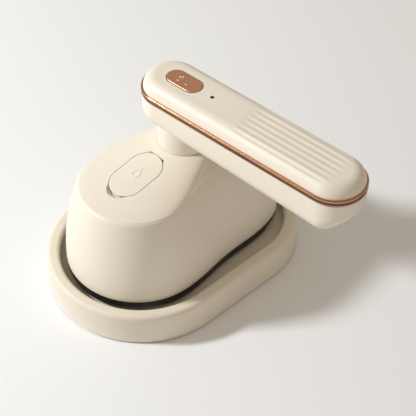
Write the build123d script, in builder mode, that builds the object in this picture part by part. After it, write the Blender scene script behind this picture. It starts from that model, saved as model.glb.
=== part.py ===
"""Travel steam iron with a swivelling handle, standing in its cradle tray.

Millimetres. +Z is up and z = 0 is the underside of the tray's non-slip pad, at the middle of the tray.
The body's nose points along -X and its heel along +X. At rest the handle is swung out to the -Y side.
"""
import os
from math import asin, cos, exp, hypot, log, pi, radians, sin, tan

from build123d import *

# ---------------------------------------------------------------- cradle tray
TRAY_LENGTH = 137.2
TRAY_WIDTH = 100.0
TRAY_TOP_Z = 19.2
TRAY_HEEL_CORNER = 40.0
TRAY_FLOOR_Z = 12.0
TRAY_FLOOR = 2.4
RIM_WIDTH = 6.9
RIM_SKIN = 2.2
RIM_ROUND = 2.4
FLOOR_ROUND = 2.6
BASE_PAD = 1.0
BASE_PAD_INSET = 2.4
BASE_PLATE = 2.0
SEAT_GAP = 0.15
MOVING_GAP = 0.3
TRAY_BOSS_RADIUS = 3.4
TRAY_BOSS_X = 34.0
TRAY_BOSS_Y = 26.0
REST_PAD_HEIGHT = 2.0
REST_PAD_RADIUS = 5.5
REST_PAD_SINK = 0.6

# ---------------------------------------------------------------- iron body
NOSE_X = -21.0
NOSE_RADIUS = 37.8
HEEL_HALF_WIDTH = 35.5
HEEL_END_X = 57.6
HEEL_SQUARENESS = 5.0
WAIST_DIP = 1.3
NOSE_BLEND = 6
WAIST_BLEND = 4
LIP_Z = 19.0
RIDGE_Z = 67.0
NOSE_LEAN = 8.3
FLANK_LEAN = 11.0
HEEL_LEAN = 13.5
LEAN_POWER = 2.2
RIDGE_EASE = 1.1
SHELL_WALL = 2.2
LIP_RING_HEIGHT = 1.5
LIP_SEAM = 0.25
OUTLINE_POINTS = 36
WALL_SHARES = (0.0, 0.25, 0.5, 0.75, 0.94)
RIDGE_STEPS = (-1.2, 0.0, 1.0, 2.2)

# ---------------------------------------------------------------- soleplate and steam chamber
SKIRT_INSET = 0.2
SKIRT_Z = 16.7
SKIRT_COLLAR_HEIGHT = 4.0
SKIRT_COLLAR_WALL = 2.0
PLATE_INSET = 0.4
PLATE_GROOVE = 0.6
PLATE_GROOVE_INSET = 1.3
PLATE_HEEL_X = 46.5
PLATE_HEEL_CORNER = 9.0
BOSS_HALF_WIDTH = 23.0
BOSS_NOSE_X = -40.0
BOSS_HEEL_X = 38.0
BOSS_TOP_Z = 25.0
CHAMBER_HALF_WIDTH = 10.0
CHAMBER_FLOOR_Z = 17.0
HEATER_TUBE_RADIUS = 2.6
HEATER_LEG_Y = 16.0
HEATER_CLEARANCE = 0.2
HEATER_TAIL = 7.0
COVER_THICK = 1.6
GASKET_THICK = 0.8
STEAM_HOLE_RADIUS = 1.3
STEAM_ROWS = 5
STEAM_ROW_PITCH = 6.0
STEAM_FIRST_Y = 2.0
STEAM_ROW_SPREAD = 1.6
SOLE_EDGE_ROUND = 0.5
SMALL_SCREW_RADIUS = 1.0
SMALL_HEAD_RADIUS = 1.9
SMALL_HEAD = 1.3
COVER_SCREW_Y = 20.9
COVER_SCREW_SPAN = 38.0
COVER_SCREW_LENGTH = 6.0
COLUMN_RADIUS = 3.4
COLUMN_SPOTS = ((-52.8, 0.0), (50.8, 0.0), (8.0, 28.2), (8.0, -28.2))
COLLAR_GAP = 0.35
SPACER_RADIUS = 2.4
SPACER_SPAN = 44.0
SPACER_Y = 7.0
SHIELD_INSET = 3.4
THERMOSTAT_RADIUS = 7.5
THERMOSTAT_HEIGHT = 7.0
FUSE_RADIUS = 2.0
FUSE_LENGTH = 11.0
SHIELD_Z = 36.0
SHIELD_THICK = 1.2

# ---------------------------------------------------------------- water tank and filler
TANK_X = -19.0
TANK_RADIUS = 23.0
TANK_BOTTOM_Z = 38.5
TANK_TOP_Z = 58.5
TANK_WALL = 1.6
TANK_ROUND = 4.0
FEED_RADIUS = 2.6
FEED_BORE = 1.5
FLAP_X = -21.3
FLAP_LENGTH = 30.0
FLAP_WIDTH = 18.5
FLAP_THICK = 2.2
FLAP_GAP = 0.35
FLAP_UNDERCUT = 1.6
FLAP_OPENING = 75.0
FLAP_SWING_STEPS = 6
FLAP_HINGE_X = 14.0
FLAP_HINGE_DEPTH = 1.15
FLAP_PIN_RADIUS = 0.5
FLAP_PIN_LENGTH = 10.8
WELL_WALL = 1.8
WELL_DEPTH = 9.4
WELL_FLOOR = 1.6
FILLER_X = -4.0
FILLER_RADIUS = 4.5
FILLER_RIM = 1.5
FILLER_RIM_HEIGHT = 2.0
SEAL_THICK = 1.5
EMBLEM_SIZE = 2.4
EMBLEM_LINE = 0.7
EMBLEM_SINK = 0.4
EMBLEM_PROUD = 0.2
NAIL_NOTCH_RADIUS = 9.0
NAIL_NOTCH_RISE = 5.5
NAIL_NOTCH_REACH = 2.5

# ---------------------------------------------------------------- neck and swivel
NECK_X = 12.4
NECK_RADIUS = 14.2
NECK_BORE = 10.5
LANDING_RADIUS = 15.2
LANDING_Z = 76.4
POST_RADIUS = 8.5
POST_BORE = 5.0
POST_FLANGE_RADIUS = 14.8
POST_FLANGE = 2.4
POST_FLANGE_Z = 68.4
POST_TOP_Z = 94.0
RUNNING_CLEARANCE = 0.06
BUSH_SEAT = 0.05
CLIP_Z = 91.4
CLIP_THICK = 1.2
CLIP_GROOVE = 0.9
WASHER_THICK = 0.8
STOP_PIN_RADIUS = 0.7
STOP_PIN_CIRCLE = 12.35
STOP_PIN_HEIGHT = 2.2
SWIVEL_HALF_TURN = 90.0
LOOM_RADIUS = 3.0
POST_SCREW_ANGLES = (45, 135, 225, 315)
NECK_SCREW_ANGLES = (0, 150, 210)

# ---------------------------------------------------------------- handle
HANDLE_ANGLE = -84.7
HANDLE_RADIUS = 15.8
HANDLE_TAIL = 7.9
HANDLE_REACH = 93.3
BAND_Z = 103.2
BAND_HEIGHT = 3.8
BAND_PROUD = 0.35
BAND_ROUND = 1.2
BAND_GROOVE = 1.2
BAND_GROOVE_RISE = 1.3
BAND_GROOVE_DEPTH = 0.5
UNDERSIDE_Z = 86.2
UNDERSIDE_SLOPE = 2.3
UNDERSIDE_ROUND = 8.5
HANDLE_WALL = 2.2
DOME_INSET = 1.0
DOME_TOP_Z = 113.2
DOME_ROUND = 6.6
DOME_WALL = 2.0
DOME_SEAT = 1.4
FLUTE_PITCH = 3.5
FLUTE_COUNT = 7
FLUTE_RADIUS = 3.0
FLUTE_DEPTH = 0.35
FLUTE_START = 48.0
FLUTE_END = 88.0
FLUTE_FADE = 14.0

# ---------------------------------------------------------------- handle fittings
BUTTON_LENGTH = 20.5
BUTTON_WIDTH = 10.4
BUTTON_GAP = 0.35
BUTTON_PROUD = 0.5
BUTTON_TRAVEL = 1.0
BUTTON_FLANGE = 1.0
BUTTON_STEM_RADIUS = 1.6
BOARD_Z = 104.6
BOARD_THICK = 1.4
BOARD_START = -12.0
BOARD_END = 38.0
BOARD_HALF_WIDTH = 10.5
SWITCH_SIDE = 6.0
SWITCH_HEIGHT = 1.6
LED_REACH = 18.0
LED_HOLE_RADIUS = 1.1
BOARD_POST_RADIUS = 2.0
BOARD_POST_REACHES = (14.5, 33.0)
BOARD_POST_SIDE = 7.5
LENS_CLEARANCE = 0.05
HANDLE_SCREW_REACHES = (46.0, 80.0)
HANDLE_BOSS_RADIUS = 3.6
SCREW_RADIUS = 1.3
SCREW_HEAD_RADIUS = 2.4
SCREW_HEAD = 1.6
INLET_CORNER_CUT = 8.8
INLET_TILT = 45.0
INLET_RADIUS = 5.4
INLET_LENGTH = 9.0
INLET_PROUD = 0.3
INLET_BORE = 3.8
INLET_RING_WIDTH = 1.0


# ---------------------------------------------------------------- shared shapes
def tray_plan(z, inset=0.0):
    """Tray outline at a height: one round nose end and two rounded heel corners."""
    with BuildSketch(Plane.XY.offset(z)) as plan:
        with Locations((TRAY_WIDTH / 2 - TRAY_LENGTH / 2, 0)):
            Circle(TRAY_WIDTH / 2 - inset)
        corner_x = TRAY_LENGTH / 2 - TRAY_HEEL_CORNER
        corner_y = TRAY_WIDTH / 2 - TRAY_HEEL_CORNER
        with Locations((corner_x, corner_y), (corner_x, -corner_y)):
            Circle(TRAY_HEEL_CORNER - inset)
        make_hull()
    return plan.sketch


def ring_points(centre_x, nose_radius, half_width, heel_end, squareness, dip):
    """Points round a body outline: a round nose, a slight waist and a squarer heel."""
    points = []
    for step in range(OUTLINE_POINTS):
        angle = 2 * pi * step / OUTLINE_POINTS
        along, across = cos(angle), abs(sin(angle))
        reach = nose_radius
        if along > 0:
            half = half_width + (nose_radius - half_width) * across**NOSE_BLEND
            half -= dip * abs(sin(2 * angle)) ** WAIST_BLEND
            length = heel_end - centre_x
            reach = ((along / length) ** squareness + (across / half) ** squareness) ** (-1 / squareness)
        points.append((centre_x + reach * along, reach * sin(angle)))
    return points


def soft_least(first, second):
    """The lesser of two sizes, eased over the ridge so that no edge is left between them."""
    return -RIDGE_EASE * log(exp(-first / RIDGE_EASE) + exp(-second / RIDGE_EASE))


def body_section(z, inset=0.0):
    """Body outline at a height: the leaning wall below the ridge, the sloping top above it."""
    lean = ((z - LIP_Z) / (RIDGE_Z - LIP_Z)) ** LEAN_POWER
    rise = (z - RIDGE_Z) / (LANDING_Z - RIDGE_Z)
    ridge_nose = NOSE_RADIUS - NOSE_LEAN
    ridge_tip = ridge_nose - NOSE_X
    ridge_half = HEEL_HALF_WIDTH - FLANK_LEAN
    ridge_heel = HEEL_END_X - HEEL_LEAN
    nose = soft_least(NOSE_RADIUS - NOSE_LEAN * lean, ridge_nose + (LANDING_RADIUS - ridge_nose) * rise)
    tip = soft_least(NOSE_RADIUS - NOSE_LEAN * lean - NOSE_X,
                     ridge_tip + (LANDING_RADIUS - NECK_X - ridge_tip) * rise)
    half = soft_least(HEEL_HALF_WIDTH - FLANK_LEAN * lean,
                      ridge_half + (LANDING_RADIUS - ridge_half) * rise)
    heel = soft_least(HEEL_END_X - HEEL_LEAN * lean,
                      ridge_heel + (NECK_X + LANDING_RADIUS - ridge_heel) * rise)
    height = (z - LIP_Z) / (LANDING_Z - LIP_Z)
    squareness = 2 + (HEEL_SQUARENESS - 2) * (1 - height**3)
    points = ring_points(nose - tip, nose - inset, half - inset, heel - inset, squareness,
                         WAIST_DIP * (1 - height**3))
    with BuildSketch(Plane.XY.offset(z - inset)) as section:
        with BuildLine():
            add(Edge.make_spline([Vector(*point) for point in points], periodic=True,
                                 parameters=list(range(OUTLINE_POINTS + 1))))
        make_face()
    return section.sketch


def body_form(inset=0.0):
    """The body's full outer form, or the same form moved in and down by inset."""
    wall = [LIP_Z + (RIDGE_Z - LIP_Z) * share for share in WALL_SHARES]
    ridge = [wall[-1]] + [RIDGE_Z + step for step in RIDGE_STEPS]
    with BuildPart() as form:
        loft(sections=[body_section(level, inset) for level in wall])
        loft(sections=[body_section(level, inset) for level in ridge], ruled=True)
        loft(sections=[body_section(ridge[-1], inset), body_section(LANDING_Z, inset)], ruled=True)
    return form.part


def handle_plane(z):
    """Level plane on the swivel axis, with its X along the handle."""
    angle = radians(HANDLE_ANGLE)
    return Plane(origin=(NECK_X, 0, z), x_dir=(cos(angle), sin(angle), 0), z_dir=(0, 0, 1))


def handle_plan(z, radius):
    """Handle outline at a height: a long stadium with the given end radius."""
    with BuildSketch(handle_plane(z)) as plan:
        with Locations(((HANDLE_REACH - HANDLE_TAIL) / 2, 0)):
            SlotCenterToCenter(HANDLE_REACH + HANDLE_TAIL, 2 * radius)
    return plan.sketch


slope = asin((LANDING_Z - RIDGE_Z) / hypot(LANDING_Z - RIDGE_Z, (NECK_X - LANDING_RADIUS)
                                           - (NOSE_X - NOSE_RADIUS + NOSE_LEAN)))
flap_z = LANDING_Z - (NECK_X - LANDING_RADIUS - FLAP_X) * sin(slope) / cos(slope)
flap_plane = Plane(origin=(FLAP_X, 0, flap_z), x_dir=(cos(slope), 0, sin(slope)),
                   z_dir=(-sin(slope), 0, cos(slope)))


def flap_prism(grow, low, high):
    """Stadium prism square to the sloping top, between two depths from its surface."""
    with BuildPart() as prism:
        with BuildSketch(flap_plane.offset(low)):
            SlotOverall(FLAP_LENGTH + 2 * grow, FLAP_WIDTH + 2 * grow)
        extrude(amount=high - low)
    return prism.part


def across_flap(along, depth):
    """Plane whose Z runs along the flap's hinge direction, centred on the body's middle."""
    return Plane(origin=flap_plane.from_local_coords((along, 0, depth)), x_dir=flap_plane.x_dir,
                 z_dir=(0, 1, 0))


def screws(plane, spots, head_radius, head, length, radius=SCREW_RADIUS):
    """Pan-head screws whose heads stand below the plane and whose shanks run up along its normal."""
    with BuildPart() as group:
        with BuildSketch(plane):
            with Locations(*spots):
                Circle(head_radius)
        extrude(amount=-head)
        with BuildSketch(plane):
            with Locations(*spots):
                Circle(radius)
        extrude(amount=length)
    return group.part


os.makedirs("parts", exist_ok=True)

# ---------------------------------------------------------------- cradle tray
boss_spots = [(x, y) for x in (-TRAY_BOSS_X, TRAY_BOSS_X) for y in (-TRAY_BOSS_Y, TRAY_BOSS_Y)]
floor_underside = TRAY_FLOOR_Z - TRAY_FLOOR
plate_top_z = BASE_PAD + BASE_PLATE

with BuildPart() as tray_shell:
    extrude(tray_plan(BASE_PAD), amount=TRAY_TOP_Z - BASE_PAD)
    extrude(tray_plan(TRAY_FLOOR_Z, RIM_WIDTH), amount=TRAY_TOP_Z, mode=Mode.SUBTRACT)
    fillet(tray_shell.edges().group_by(Axis.Z)[-1], RIM_ROUND)
    recess_floor = tray_shell.faces().filter_by(Plane.XY).filter_by(
        lambda face: abs(face.center().Z - TRAY_FLOOR_Z) < SEAT_GAP)
    fillet(recess_floor.edges(), FLOOR_ROUND)
    extrude(tray_plan(BASE_PAD, RIM_SKIN), amount=floor_underside - BASE_PAD, mode=Mode.SUBTRACT)
    with BuildSketch(Plane.XY.offset(floor_underside)):
        add(tray_plan(0, RIM_SKIN))
        add(tray_plan(0, RIM_WIDTH - RIM_SKIN), mode=Mode.SUBTRACT)
    extrude(amount=TRAY_TOP_Z - RIM_SKIN - RIM_ROUND - floor_underside, mode=Mode.SUBTRACT)
    with BuildSketch(Plane.XY.offset(plate_top_z)):
        with Locations(*boss_spots):
            Circle(TRAY_BOSS_RADIUS)
            Circle(SCREW_RADIUS, mode=Mode.SUBTRACT)
    extrude(amount=floor_underside - plate_top_z)
    with BuildSketch(Plane.XY.offset(TRAY_FLOOR_Z - REST_PAD_SINK)):
        with Locations(*boss_spots):
            Circle(REST_PAD_RADIUS)
    extrude(amount=REST_PAD_SINK, mode=Mode.SUBTRACT)
tray_shell.part.label = "tray_shell"
export_step(tray_shell.part, "parts/tray_shell.step")

with BuildPart() as base_plate:
    extrude(tray_plan(BASE_PAD, RIM_SKIN + SEAT_GAP), amount=BASE_PLATE)
    with Locations(*[(x, y, BASE_PAD) for x, y in boss_spots]):
        Cylinder(SCREW_RADIUS + SEAT_GAP, 2 * BASE_PLATE, mode=Mode.SUBTRACT)
        Cylinder(SCREW_HEAD_RADIUS + SEAT_GAP, BASE_PLATE, mode=Mode.SUBTRACT)
base_plate.part.label = "base_plate"
export_step(base_plate.part, "parts/base_plate.step")

with BuildPart() as base_pad:
    extrude(tray_plan(0, BASE_PAD_INSET), amount=BASE_PAD)
base_pad.part.label = "base_pad"
export_step(base_pad.part, "parts/base_pad.step")

with BuildPart() as tray_screws:
    add(screws(Plane.XY.offset(BASE_PAD + BASE_PLATE / 2), boss_spots, SCREW_HEAD_RADIUS,
               BASE_PLATE / 2, floor_underside - BASE_PAD - BASE_PLATE))
tray_screws.part.label = "tray_screws"
export_step(tray_screws.part, "parts/tray_screws.step")

with BuildPart() as rest_pads:
    with BuildSketch(Plane.XY.offset(TRAY_FLOOR_Z - REST_PAD_SINK)):
        with Locations(*boss_spots):
            Circle(REST_PAD_RADIUS - SEAT_GAP)
    extrude(amount=REST_PAD_SINK + REST_PAD_HEIGHT)
    chamfer(rest_pads.edges().group_by(Axis.Z)[-1], REST_PAD_SINK)
rest_pads.part.label = "rest_pads"
export_step(rest_pads.part, "parts/rest_pads.step")

# ---------------------------------------------------------------- soleplate
sole_z = TRAY_FLOOR_Z + REST_PAD_HEIGHT
plate_top = SKIRT_Z - PLATE_GROOVE
boss_plane = Plane.XY.offset(plate_top)
boss_middle = (BOSS_NOSE_X + BOSS_HEEL_X) / 2
boss_length = BOSS_HEEL_X - BOSS_NOSE_X
chamber_length = boss_length - 2 * (BOSS_HALF_WIDTH - CHAMBER_HALF_WIDTH)
heater_z = BOSS_TOP_Z - HEATER_TUBE_RADIUS - HEATER_CLEARANCE


def sole_outline(z, inset):
    """Soleplate outline: the body's nose, cut off square with rounded corners at the heel."""
    with BuildSketch(Plane.XY.offset(z)) as outline:
        add(body_section(LIP_Z, inset).moved(Location((0, 0, inset - LIP_Z))))
        with Locations((PLATE_HEEL_X - inset - TRAY_LENGTH / 2, 0)):
            Rectangle(TRAY_LENGTH, TRAY_WIDTH, mode=Mode.INTERSECT)
        fillet(outline.vertices().filter_by(lambda v: v.X > PLATE_HEEL_X - inset - SEAT_GAP),
               PLATE_HEEL_CORNER)
    return outline.sketch


def heater_route(plane_z):
    """U-shaped path round the steam chamber, open to the heel."""
    with BuildLine(Plane.XY.offset(plane_z)) as route:
        turn_x = BOSS_NOSE_X + BOSS_HALF_WIDTH
        tail_x = BOSS_HEEL_X + HEATER_TAIL
        lower = Line((tail_x, -HEATER_LEG_Y), (turn_x, -HEATER_LEG_Y))
        JernArc(lower @ 1, (-1, 0), HEATER_LEG_Y, -180)
        Line((turn_x, HEATER_LEG_Y), (tail_x, HEATER_LEG_Y))
    return route.line


steam_spots = [(NOSE_X - NOSE_RADIUS / 2 + STEAM_ROW_PITCH * row,
                side * (STEAM_FIRST_Y + STEAM_ROW_SPREAD * row))
               for row in range(STEAM_ROWS) for side in (-1, 1)]
cover_spots = [(boss_middle + side * COVER_SCREW_SPAN / 2, y) for side in (-1, 1)
               for y in (-COVER_SCREW_Y, COVER_SCREW_Y)]

with BuildPart() as soleplate:
    extrude(sole_outline(sole_z, PLATE_INSET), amount=plate_top - sole_z)
    fillet(soleplate.edges().group_by(Axis.Z)[0], SOLE_EDGE_ROUND)
    extrude(sole_outline(plate_top, PLATE_INSET + PLATE_GROOVE_INSET), amount=PLATE_GROOVE)
    with BuildSketch(boss_plane):
        with Locations((boss_middle, 0)):
            SlotOverall(boss_length, 2 * BOSS_HALF_WIDTH)
    extrude(amount=BOSS_TOP_Z - plate_top)
    with BuildSketch(Plane.XY.offset(CHAMBER_FLOOR_Z)):
        with Locations((boss_middle, 0)):
            SlotOverall(chamber_length, 2 * CHAMBER_HALF_WIDTH)
    extrude(amount=BOSS_TOP_Z, mode=Mode.SUBTRACT)
    with BuildSketch(Plane.XY.offset(heater_z - HEATER_TUBE_RADIUS - HEATER_CLEARANCE)):
        offset(heater_route(0).edges(), amount=HEATER_TUBE_RADIUS + HEATER_CLEARANCE,
               kind=Kind.ARC, closed=True)
        make_face()
    extrude(amount=BOSS_TOP_Z, mode=Mode.SUBTRACT)
    with BuildSketch(Plane.XY.offset(sole_z)):
        with Locations(*steam_spots):
            Circle(STEAM_HOLE_RADIUS)
    extrude(amount=BOSS_TOP_Z, mode=Mode.SUBTRACT)
    with BuildSketch(Plane.XY.offset(BOSS_TOP_Z - COVER_SCREW_LENGTH)):
        with Locations(*cover_spots):
            Circle(SMALL_SCREW_RADIUS)
    extrude(amount=COVER_SCREW_LENGTH, mode=Mode.SUBTRACT)
soleplate.part.label = "soleplate"
export_step(soleplate.part, "parts/soleplate.step")

# ---------------------------------------------------------------- steam chamber fittings
spacer_spots = [(boss_middle + side * SPACER_SPAN / 2, y) for side in (-1, 1)
                for y in (-SPACER_Y, SPACER_Y)]
cover_z = BOSS_TOP_Z + GASKET_THICK
cover_top = cover_z + COVER_THICK

with BuildPart() as heater_element:
    with BuildLine(Plane.XY.offset(heater_z)):
        add(heater_route(heater_z))
    with BuildSketch(Plane(origin=heater_route(heater_z) @ 0, z_dir=heater_route(heater_z) % 0)):
        Circle(HEATER_TUBE_RADIUS)
    sweep(path=heater_route(heater_z))
heater_element.part.label = "heater_element"
export_step(heater_element.part, "parts/heater_element.step")

with BuildPart() as steam_gasket:
    with BuildSketch(Plane.XY.offset(BOSS_TOP_Z)):
        with Locations((boss_middle, 0)):
            SlotOverall(boss_length, 2 * BOSS_HALF_WIDTH)
            SlotOverall(chamber_length, 2 * CHAMBER_HALF_WIDTH, mode=Mode.SUBTRACT)
        with Locations(*cover_spots):
            Circle(SMALL_SCREW_RADIUS + SEAT_GAP, mode=Mode.SUBTRACT)
    extrude(amount=GASKET_THICK)
steam_gasket.part.label = "steam_gasket"
export_step(steam_gasket.part, "parts/steam_gasket.step")

feed_spot = (TANK_X, 0)
with BuildPart() as steam_cover:
    with BuildSketch(Plane.XY.offset(cover_z)):
        with Locations((boss_middle, 0)):
            SlotOverall(boss_length, 2 * BOSS_HALF_WIDTH)
        with Locations(*cover_spots):
            Circle(SMALL_SCREW_RADIUS + SEAT_GAP, mode=Mode.SUBTRACT)
        with Locations(feed_spot):
            Circle(FEED_BORE, mode=Mode.SUBTRACT)
    extrude(amount=COVER_THICK)
steam_cover.part.label = "steam_cover"
export_step(steam_cover.part, "parts/steam_cover.step")

with BuildPart() as cover_screws:
    add(screws(Plane(origin=(0, 0, cover_top), x_dir=(1, 0, 0), z_dir=(0, 0, -1)),
               [(x, -y) for x, y in cover_spots], SMALL_HEAD_RADIUS, SMALL_HEAD,
               cover_top - BOSS_TOP_Z + COVER_SCREW_LENGTH, SMALL_SCREW_RADIUS))
cover_screws.part.label = "cover_screws"
export_step(cover_screws.part, "parts/cover_screws.step")

with BuildPart() as thermostat:
    with Locations((boss_middle + SPACER_SPAN / 4, 0, cover_top)):
        Cylinder(THERMOSTAT_RADIUS, THERMOSTAT_HEIGHT, align=(Align.CENTER, Align.CENTER, Align.MIN))
    chamfer(thermostat.edges().group_by(Axis.Z)[-1], COVER_THICK / 2)
thermostat.part.label = "thermostat"
export_step(thermostat.part, "parts/thermostat.step")

with BuildPart() as thermal_fuse:
    with BuildSketch(Plane(origin=(boss_middle - SPACER_SPAN / 8, 0, cover_top + FUSE_RADIUS),
                           z_dir=(0, 1, 0))):
        Circle(FUSE_RADIUS)
    extrude(amount=FUSE_LENGTH / 2, both=True)
thermal_fuse.part.label = "thermal_fuse"
export_step(thermal_fuse.part, "parts/thermal_fuse.step")

with BuildPart() as shield_spacers:
    with BuildSketch(Plane.XY.offset(cover_top)):
        with Locations(*spacer_spots):
            RegularPolygon(SPACER_RADIUS, 6)
            Circle(SMALL_SCREW_RADIUS, mode=Mode.SUBTRACT)
    extrude(amount=SHIELD_Z - cover_top)
shield_spacers.part.label = "shield_spacers"
export_step(shield_spacers.part, "parts/shield_spacers.step")

with BuildPart() as heat_shield:
    with BuildSketch(Plane.XY.offset(SHIELD_Z)):
        add(body_section(SHIELD_Z, SHIELD_INSET).moved(Location((0, 0, SHIELD_INSET - SHIELD_Z))))
        with Locations(*spacer_spots, *COLUMN_SPOTS):
            Circle(SMALL_SCREW_RADIUS + SEAT_GAP, mode=Mode.SUBTRACT)
        with Locations(feed_spot):
            Circle(FEED_RADIUS + SEAT_GAP, mode=Mode.SUBTRACT)
        with Locations((NECK_X, 0)):
            Circle(POST_BORE, mode=Mode.SUBTRACT)
    extrude(amount=SHIELD_THICK)
heat_shield.part.label = "heat_shield"
export_step(heat_shield.part, "parts/heat_shield.step")

with BuildPart() as shield_screws:
    add(screws(Plane(origin=(0, 0, SHIELD_Z + SHIELD_THICK), x_dir=(1, 0, 0), z_dir=(0, 0, -1)),
               [(x, -y) for x, y in spacer_spots + list(COLUMN_SPOTS)], SMALL_HEAD_RADIUS, SMALL_HEAD,
               COVER_SCREW_LENGTH, SMALL_SCREW_RADIUS))
shield_screws.part.label = "shield_screws"
export_step(shield_screws.part, "parts/shield_screws.step")

# ---------------------------------------------------------------- skirt, lip ring and body shell
collar_inset = SHELL_WALL + COLLAR_GAP
with BuildPart() as sole_skirt:
    extrude(body_section(LIP_Z, SKIRT_INSET).moved(Location((0, 0, SKIRT_INSET + SKIRT_Z - LIP_Z))),
            amount=LIP_Z - SKIRT_Z)
    extrude(body_section(LIP_Z, collar_inset).moved(Location((0, 0, collar_inset))),
            amount=SKIRT_COLLAR_HEIGHT)
    extrude(body_section(LIP_Z, collar_inset + SKIRT_COLLAR_WALL).moved(
        Location((0, 0, collar_inset + SKIRT_COLLAR_WALL))), amount=SKIRT_COLLAR_HEIGHT,
        mode=Mode.SUBTRACT)
    with BuildSketch(Plane.XY.offset(LIP_Z)):
        with Locations(*COLUMN_SPOTS):
            Circle(COLUMN_RADIUS + COLLAR_GAP)
    extrude(amount=SKIRT_COLLAR_HEIGHT, mode=Mode.SUBTRACT)
    with BuildSketch(Plane.XY.offset(SKIRT_Z)):
        with Locations((boss_middle, 0)):
            SlotOverall(boss_length + 2 * COLLAR_GAP, 2 * BOSS_HALF_WIDTH + 2 * COLLAR_GAP)
        with Locations(*COLUMN_SPOTS):
            Circle(SMALL_SCREW_RADIUS + SEAT_GAP)
        with Locations((BOSS_HEEL_X, 0)):
            Rectangle(2 * HEATER_TAIL, 2 * BOSS_HALF_WIDTH)
    extrude(amount=SKIRT_COLLAR_HEIGHT, mode=Mode.SUBTRACT)
    with BuildSketch(Plane.XY.offset(SKIRT_Z)):
        with Locations(*COLUMN_SPOTS):
            Circle(SMALL_HEAD_RADIUS + SEAT_GAP)
    extrude(amount=SMALL_HEAD, mode=Mode.SUBTRACT)
sole_skirt.part.label = "sole_skirt"
export_step(sole_skirt.part, "parts/sole_skirt.step")

with BuildPart() as skirt_screws:
    add(screws(Plane.XY.offset(SKIRT_Z + SMALL_HEAD), COLUMN_SPOTS, SMALL_HEAD_RADIUS, SMALL_HEAD,
               COVER_SCREW_LENGTH, SMALL_SCREW_RADIUS))
skirt_screws.part.label = "skirt_screws"
export_step(skirt_screws.part, "parts/skirt_screws.step")

outer_form = body_form()
inner_form = body_form(SHELL_WALL)
lip_top = LIP_Z + LIP_RING_HEIGHT

with BuildPart() as lip_ring:
    extrude(body_section(LIP_Z), amount=LIP_RING_HEIGHT)
    extrude(body_section(LIP_Z, SHELL_WALL).moved(Location((0, 0, SHELL_WALL))),
            amount=LIP_RING_HEIGHT, mode=Mode.SUBTRACT)
    fillet(lip_ring.edges().group_by(Axis.Z)[0].sort_by(SortBy.LENGTH)[-1], LIP_RING_HEIGHT / 2)
lip_ring.part.label = "lip_ring"
export_step(lip_ring.part, "parts/lip_ring.step")

hinge_plane = across_flap(FLAP_HINGE_X, -FLAP_HINGE_DEPTH)
barrel_wide = hypot(FLAP_LENGTH / 2 - FLAP_HINGE_X, FLAP_HINGE_DEPTH) + SEAT_GAP
barrel_half = FLAP_WIDTH / 4
with BuildPart() as hinge_relief:
    with BuildSketch(Plane(origin=hinge_plane.origin, x_dir=(0, 1, 0), z_dir=flap_plane.z_dir)):
        with BuildLine():
            barrel = ThreePointArc((-barrel_half, barrel_wide - FLAP_GAP), (0, barrel_wide),
                                   (barrel_half, barrel_wide - FLAP_GAP))
            Polyline(barrel @ 1, (barrel_half, 0), (-barrel_half, 0), barrel @ 0)
        make_face()
    revolve(axis=Axis(hinge_plane.origin, (0, 1, 0)))

with BuildPart() as swing_relief:
    for step in range(FLAP_SWING_STEPS):
        turn = FLAP_OPENING * (step + 1) / FLAP_SWING_STEPS
        swung = flap_prism(SEAT_GAP, -FLAP_HINGE_DEPTH, SEAT_GAP)
        add(swung.rotate(Axis(hinge_plane.origin, (0, 1, 0)), turn))

with BuildPart() as nail_notch:
    notch_half = (NAIL_NOTCH_RADIUS**2 - NAIL_NOTCH_RISE**2) ** 0.5
    notch_x = -FLAP_LENGTH / 2 - NAIL_NOTCH_REACH + notch_half
    with Locations(flap_plane.from_local_coords(Vector(notch_x, 0, NAIL_NOTCH_RISE))):
        Sphere(NAIL_NOTCH_RADIUS)

post_spots = [(NECK_X + STOP_PIN_CIRCLE * cos(radians(a)), STOP_PIN_CIRCLE * sin(radians(a)))
              for a in POST_SCREW_ANGLES]
stop_pin_spot = (NECK_X - STOP_PIN_CIRCLE, 0)
flange_top = POST_FLANGE_Z + POST_FLANGE
stop_pin_z = LANDING_Z - SHELL_WALL + SEAT_GAP

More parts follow.
